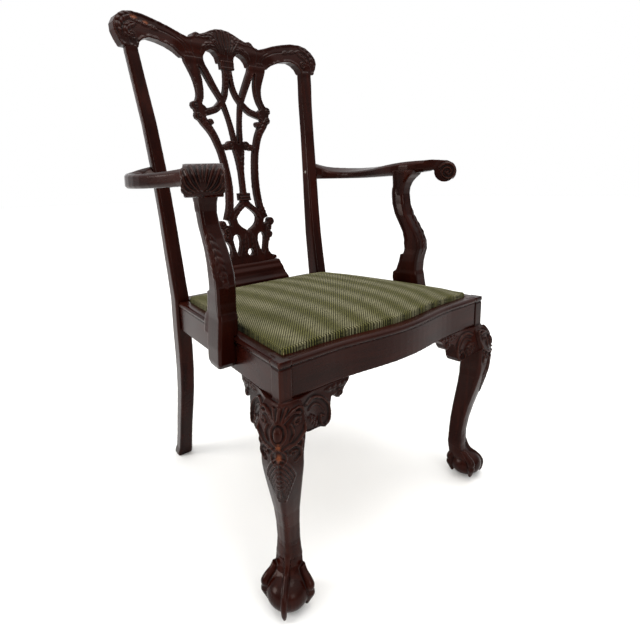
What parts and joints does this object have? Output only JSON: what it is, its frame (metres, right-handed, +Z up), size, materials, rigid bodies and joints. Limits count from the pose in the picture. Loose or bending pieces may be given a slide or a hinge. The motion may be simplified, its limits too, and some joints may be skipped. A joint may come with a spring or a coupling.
{
  "type": "armchair",
  "caption": "Carved dark wood armchair with a pierced splat back, scrolled arms, cabriole front legs on claw feet and a lift-out upholstered seat.",
  "frame": {"origin": "on the floor, under the middle of the chair's bounding box", "axes": "+Z up, the chair faces -Y, +X is towards the right-hand pieces' side"},
  "size_m": [0.7076, 0.6005, 1.036],
  "materials": {
    "mahogany": "dark polished mahogany, semi-gloss",
    "beech": "plain sawn hardwood",
    "webbing": "woven jute",
    "stuffing": "padding",
    "seat_fabric": "woven olive check with pale stripes",
    "steel": "dull steel"
  },
  "bodies": {
    "chair_frame": {"rear_post_left": "mahogany", "rear_post_right": "mahogany", "crest_rail": "mahogany", "splat": "mahogany", "splat_shoe": "mahogany", "rear_seat_rail": "mahogany", "side_seat_rail_left": "mahogany", "side_seat_rail_right": "mahogany", "front_seat_rail": "mahogany", "front_leg_left": "mahogany", "front_leg_right": "mahogany", "front_knee_bracket_left": "mahogany", "front_knee_bracket_right": "mahogany", "side_knee_bracket_left": "mahogany", "side_knee_bracket_right": "mahogany", "arm_left": "mahogany", "arm_right": "mahogany", "arm_support_left": "mahogany", "arm_support_right": "mahogany", "front_corner_block_left": "beech", "front_corner_block_right": "beech", "rear_corner_block_left": "beech", "rear_corner_block_right": "beech", "support_screw_lower_left": "steel", "support_screw_lower_right": "steel", "support_screw_upper_left": "steel", "support_screw_upper_right": "steel", "arm_screw_left": "steel", "arm_screw_right": "steel", "front_block_screw_1_left": "steel", "front_block_screw_1_right": "steel", "front_block_screw_2_left": "steel", "front_block_screw_2_right": "steel", "rear_block_screw_1_left": "steel", "rear_block_screw_1_right": "steel", "rear_block_screw_2_left": "steel", "rear_block_screw_2_right": "steel"},
    "drop_in_seat": {"seat_frame_front": "beech", "seat_frame_rear": "beech", "seat_frame_left": "beech", "seat_frame_right": "beech", "seat_webbing": "webbing", "seat_stuffing": "stuffing", "seat_cover": "seat_fabric"}
  },
  "joints": [
    {"name": "seat_lift", "type": "slide", "parent": "chair_frame", "child": "drop_in_seat", "axis": [0, 0, 1], "range_m": [0, 0.3]}
  ]
}
